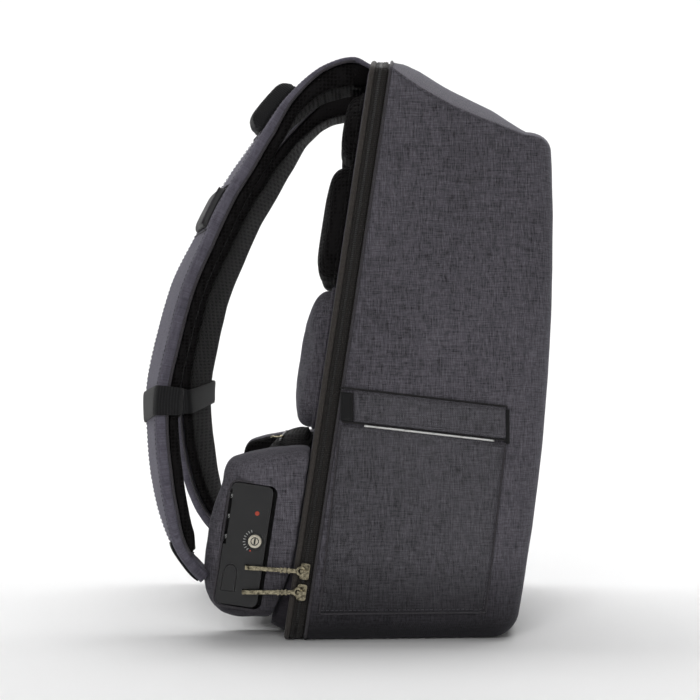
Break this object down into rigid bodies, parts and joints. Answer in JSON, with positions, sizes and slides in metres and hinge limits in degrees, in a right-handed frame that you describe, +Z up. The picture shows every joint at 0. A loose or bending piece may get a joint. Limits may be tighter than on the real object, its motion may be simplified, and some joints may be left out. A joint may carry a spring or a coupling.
{
  "type": "anti theft backpack",
  "caption": "Anti theft backpack with a slanted zip round the back panel, padded straps, lumbar wings, flat side pockets and a combination lock.",
  "frame": {"origin": "centre of the flat base, under the bag", "axes": "+Z up, +X from the straps to the outer front, -Y to the wearer's left"},
  "size_m": [0.3298, 0.3055, 0.4591],
  "materials": {
    "grey_cloth": "heathered weave",
    "strap_cloth": "plain weave",
    "black_mesh": "spacer mesh",
    "zip_cloth": "ribbed tape",
    "piping": "smooth",
    "black_webbing": "ribbed",
    "reflective": "coated",
    "black_plastic": "satin",
    "key_metal": "turned",
    "pull_metal": "satin"
  },
  "bodies": {
    "pack": {"main_shell": "grey_cloth", "zip_tape": "zip_cloth", "back_piping": "piping", "back_panel": "grey_cloth", "upper_pad_left": "black_mesh", "upper_pad_right": "black_mesh", "middle_pad_left": "black_mesh", "middle_pad_right": "black_mesh", "lower_back_pad": "grey_cloth", "lumbar_cushion": "black_mesh", "wing_left": "grey_cloth", "wing_right": "grey_cloth", "wing_lining_left": "black_mesh", "wing_lining_right": "black_mesh", "strap_left": "strap_cloth", "strap_right": "strap_cloth", "strap_pad_left": "black_mesh", "strap_pad_right": "black_mesh", "strap_elastic_left": "black_webbing", "strap_elastic_right": "black_webbing", "strap_anchor_left": "black_webbing", "strap_anchor_right": "black_webbing", "upper_tab_left": "black_webbing", "upper_tab_right": "black_webbing", "lower_tab_left": "black_plastic", "lower_tab_right": "black_plastic", "pocket_welt_left": "grey_cloth", "pocket_welt_right": "grey_cloth", "pocket_gather_left": "black_webbing", "pocket_gather_right": "black_webbing", "pocket_strip_left": "reflective", "pocket_strip_right": "reflective", "pocket_cloth_left": "grey_cloth", "pocket_cloth_right": "grey_cloth", "lock_body": "black_plastic", "zip_slider_upper": "pull_metal", "zip_slider_lower": "pull_metal", "zip_pull_upper": "pull_metal", "zip_pull_lower": "pull_metal"},
    "dial_1": {"lock_dial_1": "black_plastic"},
    "dial_2": {"lock_dial_2": "black_plastic"},
    "dial_3": {"lock_dial_3": "black_plastic"},
    "cylinder": {"lock_cylinder": "key_metal"},
    "release": {"lock_release": "black_plastic"}
  },
  "joints": [
    {"name": "dial_1_spin", "type": "hinge", "parent": "pack", "child": "dial_1", "pos_m": [-0.12571, -0.1369, 0.10962], "axis": [0.149, 0, 0.9888], "continuous": true},
    {"name": "dial_2_spin", "type": "hinge", "parent": "pack", "child": "dial_2", "pos_m": [-0.12802, -0.1369, 0.0943], "axis": [0.149, 0, 0.9888], "continuous": true},
    {"name": "dial_3_spin", "type": "hinge", "parent": "pack", "child": "dial_3", "pos_m": [-0.13033, -0.1369, 0.07897], "axis": [0.149, 0, 0.9888], "continuous": true},
    {"name": "key_turn", "type": "hinge", "parent": "pack", "child": "cylinder", "pos_m": [-0.11167, -0.143, 0.07595], "axis": [0, 1, 0], "range_deg": [0, 90]},
    {"name": "release_press", "type": "slide", "parent": "pack", "child": "release", "axis": [0, 1, 0], "range_m": [0, 0.0015], "stiffness_N_per_m": 500, "springref_m": -0.001}
  ]
}
